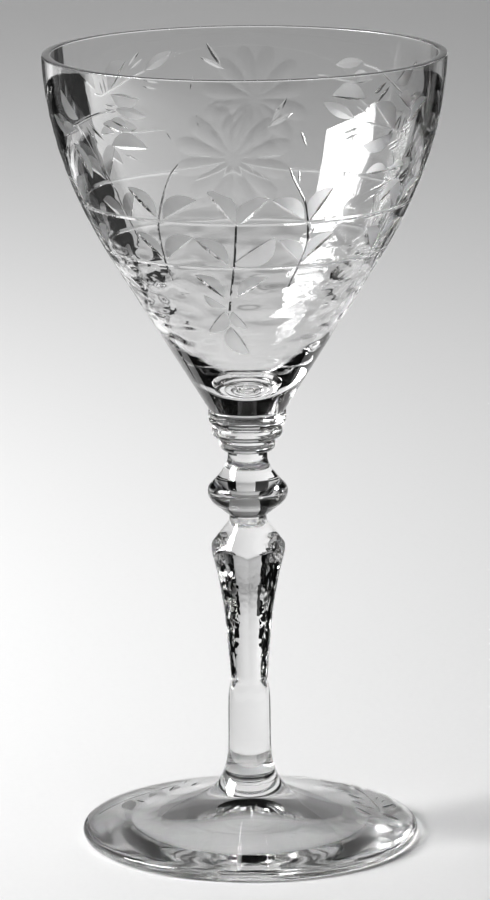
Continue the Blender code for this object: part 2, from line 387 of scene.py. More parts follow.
class WheelSettings(bpy.types.PropertyGroup):
    """Shape of the wheel cuts."""

    petals: count_setting("Petals", "Petals in one flower", 12, 5, 24)
    petal_width: length_setting("Petal width", "Width of one cut petal", 3.9 * MM)
    petal_depth: length_setting("Petal depth", "Depth of one cut petal", 0.07 * MM)
    leaf_depth: factor_setting(
        "Leaf depth", "Depth of a leaf's straight cut, as a share of its length", 0.04, 0.01, 0.08)
    leaf_width: factor_setting(
        "Leaf width", "Width of a leaf's lobe, as a share of its length", 0.32, 0.1, 0.5)
    slim_leaf_width: factor_setting(
        "Slim leaf width", "Width of each lobe of a leaf with two, as a share of its length",
        0.16, 0.05, 0.5)
    line_width: length_setting("Line width", "Width of a line cut round the bowl", 0.7 * MM)
    line_depth: length_setting("Line depth", "Depth of a line cut round the bowl", 0.16 * MM)
    stalk_width: length_setting("Stalk width", "Width of a cut stalk", 0.38 * MM)
    stalk_depth: length_setting("Stalk depth", "Depth of a cut stalk", 0.08 * MM)
    hand_seed: count_setting("Hand seed", "Seed of the small unevenness of hand cutting", 7, 0, 999)


class StemSettings(bpy.types.PropertyGroup):
    """Sizes of the pressed stem."""

    panels: count_setting("Panels", "Flat panels pressed round the stem", 6, 4, 10)
    neck_radius: length_setting("Neck radius", "Radius of the neck under the knop", 3.3 * MM)
    shoulder_radius: length_setting("Shoulder radius", "Largest radius of the stem's shoulder", 7.3 * MM)
    edge_round: length_setting("Edge round", "Fire-polished rounding of the edges between panels", 0.5 * MM)


class FootSettings(bpy.types.PropertyGroup):
    """Sizes of the foot."""

    radius: length_setting("Foot radius", "Outside radius of the foot", 29.8 * MM)
    sprays: count_setting("Sprays", "Leaf sprays cut round the foot", 2, 0, 3)


class GlassSettings(bpy.types.PropertyGroup):
    """Colour and finish of the glass."""

    colour: grey_setting("Glass colour", "Tint of the clear glass", 0.925)
    # The edge colour is painted shade: a near-black tint that keeps the top of the rim dark
    rim_shade_colour: grey_setting("Edge colour", "Tint of the glass seen edge-on at the rim", 0.02)
    # The wear colour is painted contact shade on the ring the foot stands on; its roughness is real wear
    contact_shade_colour: grey_setting("Wear colour", "Tint of the dulled ring that the foot stands on", 0.62)
    ior: setting(FloatProperty, "Refraction", "Refractive index of the glass", 1.52, 1.3, 1.8)
    polish: factor_setting("Polish", "Greatest roughness of the fire-polished glass", 0.012, 0.0, 0.2)
    ripple: length_setting("Ripple", "Depth of the slow waves in the blown and pressed glass", 0.02 * MM)
    chill: length_setting("Chill", "Depth of the level ripples low on the bowl", 0.45 * MM)
    drag: length_setting("Drag", "Depth of the drawn-out ripples down the stem", 0.045 * MM)
    groove: factor_setting("Groove", "Roughness of the cut lines and stalks", 0.08)
    satin: factor_setting("Satin", "Roughness of the lobes of the cut leaves", 0.45)
    flute: factor_setting("Flute", "Roughness of the cut petals", 0.06)
    wear: factor_setting("Wear", "Roughness of the ring that the foot stands on", 0.065)


class StageSettings(bpy.types.PropertyGroup):
    """The plain studio."""

    floor_colour: grey_setting("Floor colour", "Colour of the pale floor", 0.81)
    sweep_colour: grey_setting("Sweep colour", "Colour of the whiter paper swept up behind the glass", 0.95)
    # The sweep's top colour is painted shade: the paper darkens towards the top
    sweep_top_shade: grey_setting("Sweep top colour", "Colour of the upper part of that paper", 0.4)
    # The dark and grey cloth are seen only in the glass: painted dark reflections on its edges
    dark_shade: factor_setting("Dark shade", "Shade of the dark cloth that the glass's edges show", 0.004)
    grey_shade: factor_setting("Grey shade", "Shade of the grey cloth that the bowl's left shows", 0.06)
    window_power: power_setting("Window power", "Power of the large soft light on the left, in watts", 14.0)
    fill_power: power_setting("Fill power", "Power of the soft light overhead, in watts", 8.0)
    room_colour: grey_setting("Room colour", "Brightness of the dark room", 0.002)


def hermite(start, start_slope, end, end_slope, span, share):
    """Value at share (0 to 1) of a cubic from start to end whose slopes at the ends are given."""
    rest = 1.0 - share
    from_start = start * (1.0 + 2.0 * share) + start_slope * span * share
    from_end = end * (3.0 - 2.0 * share) - end_slope * span * rest
    return from_start * rest * rest + from_end * share * share


def steps_between(start, end, count):
    return [start + (end - start) * index / count for index in range(count + 1)]


def bezier(start, start_pull, end_pull, end):
    """Profile points, (radius, height), along one cubic curve."""
    knots = [Vector(point) for point in (start, start_pull, end_pull, end)]
    return [(point.x, point.y) for point in interpolate_bezier(*knots, CURVE_STEPS)]


def arc(centre_radius, centre_height, radius, start_degrees, end_degrees):
    """Profile points on a circular arc; 0 degrees points away from the axis and 90 points up."""
    points = []
    for degrees in steps_between(start_degrees, end_degrees, EDGE_STEPS):
        angle = math.radians(degrees)
        points.append((centre_radius + radius * math.cos(angle), centre_height + radius * math.sin(angle)))
    return points


def run_between(start, end, longest):
    """Points of a straight profile run, no further apart than longest, without its first point."""
    count = max(1, math.ceil(math.dist(start, end) / longest))
    return [tuple(Vector(start).lerp(Vector(end), index / count)) for index in range(1, count + 1)]


def turn(profile, steps):
    """A bmesh turned about the axis of the glass from (radius, height) points."""
    shape = bmesh.new()
    corners = [shape.verts.new((radius, 0.0, height)) for radius, height in profile]
    for first, second in zip(corners, corners[1:]):
        shape.edges.new((first, second))
    outline = shape.verts[:] + shape.edges[:]
    bmesh.ops.spin(
        shape, geom=outline, cent=(0.0, 0.0, 0.0), axis=(0.0, 0.0, 1.0),
        angle=math.tau, steps=steps, use_merge=True)
    bmesh.ops.remove_doubles(shape, verts=shape.verts[:], dist=MERGE_DISTANCE)
    bmesh.ops.recalc_face_normals(shape, faces=shape.faces[:])
    return shape


def rotate(shape, angle, axis, centre=(0.0, 0.0, 0.0)):
    """Rotates a whole bmesh about a named axis through a centre."""
    bmesh.ops.rotate(shape, verts=shape.verts[:], cent=centre, matrix=Matrix.Rotation(angle, 3, axis))


def shift(shape, *step):
    """Moves a whole bmesh."""
    bmesh.ops.translate(shape, verts=shape.verts[:], vec=step)


def paint(shape, slot):
    """Gives every face of a bmesh one material slot."""
    for face in shape.faces:
        face.material_index = slot


def only(items, kind):
    """The items of one kind, out of what a bmesh operation made."""
    return [item for item in items if isinstance(item, kind)]


def mark_welds(shape, welds):
    """Gives the weld slot to the level faces inside each weld, a (height, radius) pair."""
    for height, radius in welds:
        for face in shape.faces:
            inside = all(math.hypot(vert.co.x, vert.co.y) < radius + MERGE_DISTANCE for vert in face.verts)
            level = all(abs(vert.co.z - height) < MERGE_DISTANCE for vert in face.verts)
            if inside and level:
                face.material_index = WELD


def add_piece(name, shape, materials, collection):
    """Makes the bmesh an object in a collection."""
    mesh = bpy.data.meshes.new(name)
    shape.to_mesh(mesh)
    shape.free()
    for material in materials:
        mesh.materials.append(material)
    piece = bpy.data.objects.new(name, mesh)
    collection.objects.link(piece)
    return piece


def finish_piece(name, shape, materials, node):
    """Makes the bmesh an object that stands for a node of the frame."""
    piece = add_piece(name, shape, materials, bpy.context.scene.collection)
    smooth_faces(piece.data)
    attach(piece, "root")
    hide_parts(node)
    return piece


def smooth_faces(mesh):
    """Shades a mesh smooth, with its hard edges kept and each cut set off from the wall around it."""
    mesh.shade_smooth()
    shape = bmesh.new()
    shape.from_mesh(mesh)
    for edge in shape.edges:
        edge.smooth = True
        if len(edge.link_faces) == 2:
            first, second = edge.link_faces
            slots = (first.material_index, second.material_index)
            apart = slots[0] != slots[1] and (slots[0] in CUTS or slots[1] in CUTS)
            edge.smooth = not apart and edge.calc_face_angle(0.0) < SHARP_ANGLE
    shape.to_mesh(mesh)
    shape.free()


# Bowl


def bowl_radius(height, rim_radius):
    """Outer radius of the bowl at a height."""
    if height <= CONE_TOP_HEIGHT:
        return CONE_TOP_RADIUS - CONE_SLOPE * (CONE_TOP_HEIGHT - height)
    span = RIM_HEIGHT - CONE_TOP_HEIGHT
    share = (height - CONE_TOP_HEIGHT) / span
    return hermite(CONE_TOP_RADIUS, CONE_SLOPE, rim_radius, RIM_SLOPE, span, share)


def bowl_slope(height, rim_radius):
    """How fast the outer radius grows with height."""
    low = bowl_radius(height - BOWL_PROBE, rim_radius)
    high = bowl_radius(height + BOWL_PROBE, rim_radius)
    return (high - low) / (2 * BOWL_PROBE)


def bowl_profile(bowl, wheel):
    """From the middle of the well, up the inside, over the rim and down the outside."""
    def outer(height):
        return bowl_radius(height, bowl.rim_radius)

    def outer_points(heights):
        return [(outer(height), height) for height in heights]

    def wall(height):
        share = (height - WELL_TOP_HEIGHT) / (RIM_HEIGHT - WELL_TOP_HEIGHT)
        return bowl.cone_wall + (bowl.rim_wall - bowl.cone_wall) * share

    well_radius = outer(WELL_TOP_HEIGHT) - wall(WELL_TOP_HEIGHT)
    top_pull = (well_radius - WELL_TOP_PULL[0], WELL_TOP_HEIGHT - WELL_TOP_PULL[1])
    well = bezier((0.0, WELL_HEIGHT), (WELL_PULL, WELL_HEIGHT), top_pull, (well_radius, WELL_TOP_HEIGHT))
    rim_centre = RIM_HEIGHT - RIM_ROUND
    below_rim = [rim_centre - drop for drop in BELOW_RIM_STEPS]
    inner_heights = steps_between(WELL_TOP_HEIGHT, below_rim[0], 2 * CURVE_STEPS)[1:-1] + below_rim
    inner = [(outer(height) - wall(height), height) for height in inner_heights]
    inner_corner = outer(rim_centre) - bowl.rim_wall + RIM_ROUND
    rim = arc(inner_corner, rim_centre, RIM_ROUND, 180.0, 90.0)
    rim += arc(outer(rim_centre) - RIM_ROUND, rim_centre, RIM_ROUND, 90.0, 0.0)
    outside = outer_points(reversed(below_rim))
    top = below_rim[0]
    half_line = wheel.line_width / 2
    for line in sorted(LINE_HEIGHTS, reverse=True):
        outside += outer_points(steps_between(top, line + half_line, CURVE_STEPS)[1:])
        outside.append((outer(line) - wheel.line_depth, line))
        top = line - half_line
        outside += outer_points([top])
    outside += outer_points(steps_between(top, BOWL_WELD, 2 * CURVE_STEPS)[1:])
    return well + inner + rim + outside + [(BOWL_SEAT_RADIUS, BOWL_WELD), (0.0, BOWL_WELD)]


class Carrier:
    """Carries flat shapes onto a turned surface: x runs round it, y along its profile and z out of it."""

    def span(self, start, end):
        """Middle of two (degrees, place) points, with their distance and direction on the surface."""
        degrees = (start[0] + end[0]) / 2
        place = (start[1] + end[1]) / 2
        along = math.radians(end[0] - start[0]) * self.point(place)[0]
        ahead = (end[1] - start[1]) / self.stride(place)
        return (degrees, place), math.hypot(along, ahead), math.atan2(ahead, along)

    def flatten(self, points, middle):
        """The flat (x, y) places of (degrees, place) points about a middle one."""
        stride = self.stride(middle[1])
        flat = []
        for degrees, place in points:
            radius = self.point(place)[0]
            flat.append((math.radians(degrees - middle[0]) * radius, (place - middle[1]) / stride))
        return flat

    def wrap(self, shape, middle):
        """Moves the vertices of a flat shape onto the surface, with its origin at a middle point."""
        stride = self.stride(middle[1])
        for vert in shape.verts:
            along, ahead, out = vert.co
            place = middle[1] + ahead * stride
            radius, height = self.point(place)
            tilt = self.tilt(place)
            angle = math.radians(middle[0]) + along / radius
            reach = radius + out * math.cos(tilt)
            vert.co = (reach * math.sin(angle), -reach * math.cos(angle), height + out * math.sin(tilt))


class BowlWall(Carrier):
    """The outside of the bowl. A place on it is a height."""

    def __init__(self, rim_radius):
        self.rim_radius = rim_radius

    def point(self, height):
        return bowl_radius(height, self.rim_radius), height

    def tilt(self, height):
        return -math.atan(bowl_slope(height, self.rim_radius))

    def stride(self, height):
        return math.cos(self.tilt(height))


class FootTop(Carrier):
    """The top of the foot. A place on it is a radius, and y runs towards the axis."""

    def __init__(self):
        self.radii, self.heights = zip(*foot_top())

    def point(self, radius):
        return radius, float(np.interp(radius, self.radii, self.heights))

    def slope(self, radius):
        rise = self.point(radius + FOOT_PROBE)[1] - self.point(radius - FOOT_PROBE)[1]
        return rise / (2 * FOOT_PROBE)

    def tilt(self, radius):
        return math.pi / 2 + math.atan(self.slope(radius))

    def stride(self, radius):
        return -math.cos(math.atan(self.slope(radius)))


def leaf_cutter(length, side, wheel):
    """The path of a wheel whose edge slopes gently on one side: a straight cut with a lobe beside it."""
    depth = wheel.leaf_depth * length
    lobe = (wheel.leaf_width if side else wheel.slim_leaf_width) * length
    radius = length * length / (8.0 * depth)
    clear = LEAF_CLEAR * depth
    gentle = (lobe * LOBE_OVER, depth * LOBE_OVER)
    steep = (clear / math.tan(STEEP_SIDE), clear)
    left, left_rise = gentle if side >= 0 else steep
    right, right_rise = gentle if side <= 0 else steep
    lid = clear * LEAF_LID
    section = [(0.0, 0.0), (left, left_rise), (left, lid), (-right, lid), (-right, right_rise)]
    shape = bmesh.new()
    corners = [shape.verts.new((0.0, across, rise - depth)) for across, rise in section]
    face = shape.faces.new(corners)
    half_turn = TURN_OVER * math.asin(length / 2 / radius)
    centre = (0.0, 0.0, radius - depth)
    rotate(shape, -half_turn, "Y", centre)
    bmesh.ops.spin(
        shape, geom=[face] + face.edges[:] + face.verts[:], cent=centre, axis=(0.0, 1.0, 0.0),
        angle=2.0 * half_turn, steps=LEAF_STEPS, use_merge=False)
    bmesh.ops.recalc_face_normals(shape, faces=shape.faces[:])
    for face in shape.faces:
        face.material_index = GROOVE if abs(face.normal.y) > math.sin(STEEP_SIDE) / 2 else SATIN
    return shape


def petal_cutter(wheel):
    """A long rounded hollow, narrow at the middle of the flower and wide at its outer end."""
    opening = math.sqrt(1.0 - PETAL_SINK * PETAL_SINK)
    height = wheel.petal_depth / (1.0 - PETAL_SINK)
    length = (PETAL_END - PETAL_START) / 2
    size = (length / opening, wheel.petal_width / 2 / opening, height)
    shape = bmesh.new()
    bmesh.ops.create_uvsphere(shape, u_segments=PETAL_STEPS[0], v_segments=PETAL_STEPS[1], radius=1.0)
    rotate(shape, math.pi / 2, "Y")
    bmesh.ops.scale(shape, verts=shape.verts[:], vec=size)
    for vert in shape.verts:
        share = (vert.co.x * opening / length + 1.0) / 2.0
        vert.co.y *= PETAL_ROOT + (1.0 - PETAL_ROOT) * share / PETAL_WIDEST
    shift(shape, 0.0, 0.0, PETAL_SINK * height)
    paint(shape, FLUTE)
    return shape


def line_cutter(points, width, depth):
    """A V groove along flat (x, y) points, extruded from a three-cornered face."""
    shape = bmesh.new()
    section = [(-width, depth), (0.0, -depth), (width, depth)]

    def ring(index):
        before = Vector(points[max(index - 1, 0)])
        after = Vector(points[min(index + 1, len(points) - 1)])
        ahead = (after - before).normalized()
        aside = Vector((-ahead.y, ahead.x))
        here = Vector(points[index])
        return [(here.x + aside.x * across, here.y + aside.y * across, out) for across, out in section]

    face = shape.faces.new([shape.verts.new(corner) for corner in ring(0)])
    for index in range(1, len(points)):
        grown = bmesh.ops.extrude_face_region(shape, geom=[face])
        if index > 1:
            bmesh.ops.delete(shape, geom=[face], context="FACES_ONLY")
        face = only(grown["geom"], bmesh.types.BMFace)[0]
        for vert, corner in zip(face.verts, ring(index)):
            vert.co = corner
    bmesh.ops.recalc_face_normals(shape, faces=shape.faces[:])
    paint(shape, GROOVE)
    return shape


def smooth_path(points, count):
    """Points along a smooth curve through a few given ones. The pull at each is a sixth of the way
    from the one before it to the one after it.
    """
    knots = [Vector(point) for point in points]
    ends = [2 * knots[0] - knots[1]] + knots + [2 * knots[-1] - knots[-2]]
    path = []
    for index in range(1, len(ends) - 2):
        before, start, end, after = ends[index - 1:index + 3]
        pulls = (start + (end - before) / 6, end - (after - start) / 6)
        handles = [vector.to_3d() for vector in (start, *pulls, end)]
        path += [point.to_2d() for point in interpolate_bezier(*handles, count)][:-1]
    return path + [knots[-1]]


def placed(point, turn_degrees):
    """A (degrees, mm) point of a motif, turned to its own place and in metres."""
    return (point[0] + turn_degrees, point[1] * MM)


class Pattern:
    """Collects the cutters of one piece."""

    def __init__(self, wheel, surface, materials):
        self.wheel = wheel
        self.surface = surface
        self.materials = materials
        self.hand = random.Random(wheel.hand_seed)
        self.collection = bpy.data.collections.new("cutters")
        bpy.context.scene.collection.children.link(self.collection)

    def keep(self, shape, middle, direction=0.0):
        """Turns a flat cutter, lays it on the surface and keeps it for the cut."""
        rotate(shape, direction, "Z")
        self.surface.wrap(shape, middle)
        add_piece("cutter", shape, self.materials, self.collection)

    def span(self, start, end, turn_degrees):
        return self.surface.span(placed(start, turn_degrees), placed(end, turn_degrees))

    def waver(self, degrees):
        """A small turn of the hand, to either side."""
        return math.radians(self.hand.uniform(-degrees, degrees))

    def leaf(self, base, tip, side, turn_degrees):
        middle, length, direction = self.span(base, tip, turn_degrees)
        length *= self.hand.uniform(*HAND_LENGTH)
        direction += self.waver(HAND_TURN)
        self.keep(leaf_cutter(length, side, self.wheel), middle, direction)

    def tick(self, start, end, turn_degrees):
        middle, length, direction = self.span(start, end, turn_degrees)
        direction += self.waver(HAND_TICK_TURN)
        shape = leaf_cutter(length, BOTH, self.wheel)
        bmesh.ops.scale(shape, verts=shape.verts[:], vec=TICK_SCALE)
        paint(shape, GROOVE)
        self.keep(shape, middle, direction)

    def stalk(self, points, turn_degrees):
        path = [placed(point, turn_degrees) for point in smooth_path(points, STALK_STEPS)]
        middle = path[len(path) // 2]
        flat = self.surface.flatten(path, middle)
        self.keep(line_cutter(flat, self.wheel.stalk_width, self.wheel.stalk_depth), middle)

    def flower(self, turn_degrees):
        middle = placed(FLOWER_PLACE, turn_degrees)
        reach = (PETAL_START + PETAL_END) / 2
        for index in range(self.wheel.petals):
            angle = math.tau * (index + 0.5) / self.wheel.petals + self.waver(HAND_TURN)
            shape = petal_cutter(self.wheel)
            shift(shape, reach, 0.0, 0.0)
            self.keep(shape, middle, angle)

    def motif(self, stalks, leaves, ticks, turn_degrees):
        for points in stalks:
            self.stalk(points, turn_degrees)
        for base, tip, side in leaves:
            self.leaf(base, tip, side, turn_degrees)
        for start, end in ticks:
            self.tick(start, end, turn_degrees)

    def cut(self, piece):
        """Takes every cutter out of the piece, and removes the cutters."""
        wheel = piece.modifiers.new("wheel", "BOOLEAN")
        wheel.operation = "DIFFERENCE"
        wheel.operand_type = "COLLECTION"
        wheel.collection = self.collection
        wheel.solver = "MANIFOLD"
        graph = bpy.context.evaluated_depsgraph_get()
        mesh = bpy.data.meshes.new_from_object(piece.evaluated_get(graph))
        piece.modifiers.remove(wheel)
        plain = piece.data
        piece.data = mesh
        bpy.data.meshes.remove(plain)
        for cutter in list(self.collection.objects):
            bpy.data.meshes.remove(cutter.data)
        bpy.data.collections.remove(self.collection)
        mesh.name = piece.name


def polish_wall(mesh, rim_radius):
    """Gives the uncut outside of the bowl the exact normals of its swept wall."""
    corners = np.empty(len(mesh.loops) * 3, np.float32)
    mesh.corner_normals.foreach_get("vector", corners)
    corners = corners.reshape(-1, 3)
    for face in mesh.polygons:
        if face.material_index != WALL:
            continue
        places = [mesh.vertices[index].co for index in face.vertices]
        reaches = [math.hypot(place.x, place.y) for place in places]
        heights = [place.z for place in places]
        if min(heights) < BOWL_WELD + WALL_MARGIN or max(heights) > RIM_HEIGHT - RIM_ROUND + WALL_MARGIN:
            continue
        gaps = [bowl_radius(height, rim_radius) - reach for height, reach in zip(heights, reaches)]
        if max(gaps) > WALL_GAP:
            continue
        for loop, place, reach in zip(face.loop_indices, places, reaches):
            lean = math.atan(bowl_slope(place.z, rim_radius))
            level = math.cos(lean) / reach
            corners[loop] = (place.x * level, place.y * level, -math.sin(lean))
    mesh.normals_split_custom_set(corners.tolist())


# Materials

# Slow waves of the polished glass, and the grain of the ground glass: features per metre, the detail and
# the usual range of the noise, depths, and how far the roughness strays
WAVE_FINENESS = 140.0
WAVE_DETAIL = 2.0
NOISE_RANGE = (0.3, 0.7)
GRAIN_FINENESS = 9000.0
SATIN_GRAIN = 0.004 * MM
FINE_GRAIN = 0.001 * MM
GROUND_SPREAD = 0.03


def new_material(name):
    material = bpy.data.materials.new(name)
    material.use_nodes = True
    return material


def shader_of(material):
    return material.node_tree.nodes["Principled BSDF"]


def set_inputs(node, values):
    for socket, value in values.items():
        node.inputs[socket].default_value = value


def add_node(material, kind, values=None):
    """A new shader node with some of its inputs set."""
    node = material.node_tree.nodes.new("ShaderNode" + kind)
    set_inputs(node, values or {})
    return node


def join(material, *links):
    """Links each pair of sockets."""
    for start, end in links:
        material.node_tree.links.new(start, end)


def noise_of(material, scale, detail, stretch=(1.0, 1.0, 1.0)):
    """A noise on the object's own coordinates, with scale in features per metre."""
    place = add_node(material, "TexCoord")
    spread = add_node(material, "Mapping", {"Scale": stretch})
    noise = add_node(material, "TexNoise", {"Scale": scale, "Detail": detail})
    join(
        material,
        (place.outputs["Object"], spread.inputs["Vector"]),
        (spread.outputs["Vector"], noise.inputs["Vector"]))
    return noise.outputs["Fac"]


def height_share(material, start, end):
    """How far the height of a point lies from a start, 0, to an end, 1."""
    place = add_node(material, "TexCoord")
    split = add_node(material, "SeparateXYZ")
    share = add_node(material, "MapRange", {"From Min": start, "From Max": end})
    join(
        material,
        (place.outputs["Object"], split.inputs["Vector"]),
        (split.outputs["Z"], share.inputs["Value"]))
    return share.outputs["Result"]


def new_glass(name, colour, ior, roughness, waves, fineness):
    """Glass with a roughness range, and a surface that waves by a depth at a fineness per metre."""
    material = new_material(name)
    shader = shader_of(material)
    set_inputs(shader, {"Base Color": colour, "IOR": ior, "Transmission Weight": 1.0})
    noise = noise_of(material, fineness, WAVE_DETAIL)
    spread = add_node(material, "MapRange", {
        "From Min": NOISE_RANGE[0], "From Max": NOISE_RANGE[1],
        "To Min": roughness[0], "To Max": roughness[1]})
    bump = add_node(material, "Bump", {"Distance": waves})
    join(
        material,
        (noise, spread.inputs["Value"]),
        (spread.outputs["Result"], shader.inputs["Roughness"]),
        (noise, bump.inputs["Height"]),
        (bump.outputs["Normal"], shader.inputs["Normal"]))
    return material


def chill(material, waves, heights, fineness, stretch):
    """Adds the ripples that a mould leaves: they start at the first height, are full between the second
    and the third, and end at the fourth.
    """
    normal = shader_of(material).inputs["Normal"]
    share = add_node(material, "Math")
    share.operation = "MINIMUM"
    bump = add_node(material, "Bump", {"Distance": waves})
    join(
        material,
        (height_share(material, heights[0], heights[1]), share.inputs[0]),
        (height_share(material, heights[3], heights[2]), share.inputs[1]),
        (share.outputs["Value"], bump.inputs["Strength"]),
        (noise_of(material, fineness, 0.0, stretch), bump.inputs["Height"]),
        (normal.links[0].from_socket, bump.inputs["Normal"]),
        (bump.outputs["Normal"], normal))


def unseen_weld():
    """A fused seam: glass on both sides, so nothing shows."""
    material = new_material("fused_weld")
    nodes = material.node_tree.nodes
    nodes.remove(shader_of(material))
    clear = add_node(material, "BsdfTransparent")
    join(material, (clear.outputs["BSDF"], nodes["Material Output"].inputs["Surface"]))
    return material


def glass_set(prefix, glass, depth=1.0):
    """The materials of one piece, in slot order. Raising the tint to the power of depth darkens it: painted
    shade.
    """
    tint = [channel ** depth for channel in glass.colour[:3]] + [1.0]

    def found(name, colour, *make):
        return bpy.data.materials.get(name) or new_glass(name, colour, glass.ior, *make)

    def polished(name, colour):
        return found(name, colour, (0.0, glass.polish), glass.ripple, WAVE_FINENESS)

    def ground(name, roughness, grain, colour=tint):
        spread = (roughness - GROUND_SPREAD, roughness + GROUND_SPREAD)
        return found(name, colour, spread, grain, GRAIN_FINENESS)

    return [
        polished(prefix + "_clear", tint),
        ground("satin_lobe", glass.satin, SATIN_GRAIN),
        ground("bright_groove", glass.groove, FINE_GRAIN),
        ground("fluted_petal", glass.flute, FINE_GRAIN),
        bpy.data.materials.get("fused_weld") or unseen_weld(),
        # the top of the rim, tinted near black: painted shade
        polished("rim_painted_shade", glass.rim_shade_colour),
        # the ring the foot stands on: real wear roughness, with a darker tint as painted contact shade
        ground("worn_shaded_ring", glass.wear, FINE_GRAIN, glass.contact_shade_colour),
    ]


class CUTGLASS_OT_bowl(bpy.types.Operator):
    """Blow the bowl and cut its flowers, sprigs and sprays"""

    bl_idname = "cutglass.bowl"
    bl_label = "Cut bowl"

    def execute(self, context):
        bowl = context.scene.cut_bowl
        wheel = context.scene.cut_wheel
        glass = context.scene.cut_glass
        materials = glass_set("bowl", glass)
        chill(materials[WALL], glass.chill, CHILL_HEIGHTS, CHILL_FINENESS, CHILL_STRETCH)
        shape = turn(bowl_profile(bowl, wheel), WIDE_STEPS)
        mark_welds(shape, [(BOWL_WELD, BOWL_SEAT_RADIUS)])
        for face in shape.faces:
            middle = face.calc_center_median()
            sunk = bowl_radius(middle.z, bowl.rim_radius) - math.hypot(middle.x, middle.y)
            beside_line = any(abs(middle.z - line) < wheel.line_width / 2 for line in LINE_HEIGHTS)
            if beside_line and sunk < 2 * wheel.line_depth:
                face.material_index = GROOVE
            if middle.z > RIM_HEIGHT - RIM_ROUND and face.normal.z > RIM_FACING:
                face.material_index = EDGE
        piece = finish_piece("cut_bowl", shape, materials, "bowl")
        pattern = Pattern(wheel, BowlWall(bowl.rim_radius), materials)
        for index in range(bowl.repeats):
            degrees = FIRST_REPEAT + 360.0 * index / bowl.repeats
            between = degrees + 180.0 / bowl.repeats
            pattern.flower(degrees)
            pattern.motif((), (), FLOWER_TICKS, degrees)
            if index in SPRIG_REPEATS:
                pattern.motif(SPRIG_STALKS, SPRIG_LEAVES, SPRIG_TICKS, degrees)
            if index % 2:
                pattern.motif(LEFT_SPRAY_STALKS, LEFT_SPRAY_LEAVES, LEFT_SPRAY_TICKS, between)
            else:
                pattern.motif(RIGHT_SPRAY_STALKS, RIGHT_SPRAY_LEAVES, RIGHT_SPRAY_TICKS, between)
        pattern.cut(piece)
        smooth_faces(piece.data)
        polish_wall(piece.data, bowl.rim_radius)
        return {"FINISHED"}


def collar_profile(size, top, bottom):
    """From the weld above a ring, round its outside, to the weld below; each weld is (height, radius)."""
    radius, upper_round, lower_round = size
    upper = arc(radius - upper_round, top[0] - upper_round, upper_round, 90.0, 0.0)
    lower = arc(radius - lower_round, bottom[0] + lower_round, lower_round, 0.0, -90.0)
    seat = [(0.0, top[0]), (top[1], top[0])]
    return seat + upper + lower + [(bottom[1], bottom[0]), (0.0, bottom[0])]


class CUTGLASS_OT_collars(bpy.types.Operator):
    """Turn the three collar rings under the bowl"""

    bl_idname = "cutglass.collars"
    bl_label = "Collar rings"

    def execute(self, context):
        materials = glass_set("stem", context.scene.cut_glass)
        for (name, size), top, bottom in zip(COLLARS.items(), COLLAR_WELDS, COLLAR_WELDS[1:]):
            shape = turn(collar_profile(size, top, bottom), SLIM_STEPS)
            mark_welds(shape, [top, bottom])
            finish_piece(name, shape, materials, name + "_ring")
        return {"FINISHED"}


class CUTGLASS_OT_knop(bpy.types.Operator):
    """Turn the knop"""

    bl_idname = "cutglass.knop"
    bl_label = "Knop"

    def execute(self, context):
        materials = glass_set("stem", context.scene.cut_glass)
        neck = [(0.0, LOWER_COLLAR_WELD), (KNOP_NECK_RADIUS, LOWER_COLLAR_WELD)]
        bell = bezier(KNOP_NECK_FOOT, KNOP_NECK_PULL, KNOP_BELL_PULL, KNOP_BELL_FOOT)
        edge = bezier(KNOP_BELL_FOOT, KNOP_EDGE_PULL, KNOP_UNDER_PULL, KNOP_UNDER)
        seat = (KNOP_SEAT_RADIUS, KNOP_WELD)
        under = run_between(KNOP_UNDER, seat, KNOP_STEP)
        shape = turn(neck + bell + edge[1:] + under + [(0.0, KNOP_WELD)], SLIM_STEPS)
        mark_welds(shape, [(LOWER_COLLAR_WELD, KNOP_NECK_RADIUS), (KNOP_WELD, KNOP_SEAT_RADIUS)])
        finish_piece("turned_knop", shape, materials, "knop")
        return {"FINISHED"}


def panel_apothem(height):
    """Distance from the axis to the flat panels at a height."""
    span = PANEL_TOP - PANEL_FOOT
    if height > PANEL_TOP:
        return PANEL_TOP_APOTHEM + PANEL_TOP_SLOPE * (height - PANEL_TOP)
    if height < PANEL_FOOT:
        share = (PANEL_FOOT - height) / PANEL_RUNOUT
        return PANEL_FOOT_APOTHEM + (FLARE_RADIUS - PANEL_FOOT_APOTHEM) * share
    share = (height - PANEL_FOOT) / span
    foot = (PANEL_FOOT_APOTHEM, PANEL_FOOT_SLOPE)
    top = (PANEL_TOP_APOTHEM, PANEL_TOP_SLOPE)
    return hermite(*foot, *top, span, share)


def rounded_least(first, second, rounding):
    """The smaller of two lengths, eased where they cross."""
    return (first + second - math.hypot(first - second, rounding)) / 2


def stem_profile(stem):
    """The turned blank, from its neck down to its flared base."""
    corner = 1.0 / math.cos(math.pi / stem.panels)
    neck_top = (stem.neck_radius, KNOP_WELD)
    neck_foot = (stem.neck_radius, SHOULDER_TOP)
    shoulder_foot = (stem.shoulder_radius, SHOULDER_BREAK)
    neck = [(0.0, KNOP_WELD), neck_top] + run_between(neck_top, neck_foot, BLANK_STEP)
    shoulder = run_between(neck_foot, shoulder_foot, BLANK_STEP)
    heights = steps_between(PANEL_TOP, PANEL_FOOT, 3 * CURVE_STEPS)[1:-1]
    taper = [(panel_apothem(height) * corner * BLANK_ALLOWANCE, height) for height in heights]
    shank_top = (SHANK_RADIUS, PANEL_FOOT)
    shank_foot = (SHANK_RADIUS, FLARE_TOP)
    shank = [shank_top] + run_between(shank_top, shank_foot, BLANK_STEP)
    flare = bezier(shank_foot, FLARE_UPPER_PULL, FLARE_LOWER_PULL, (FLARE_RADIUS, FOOT_WELD))
    return neck + shoulder + taper + shank + flare[1:] + [(0.0, FOOT_WELD)]


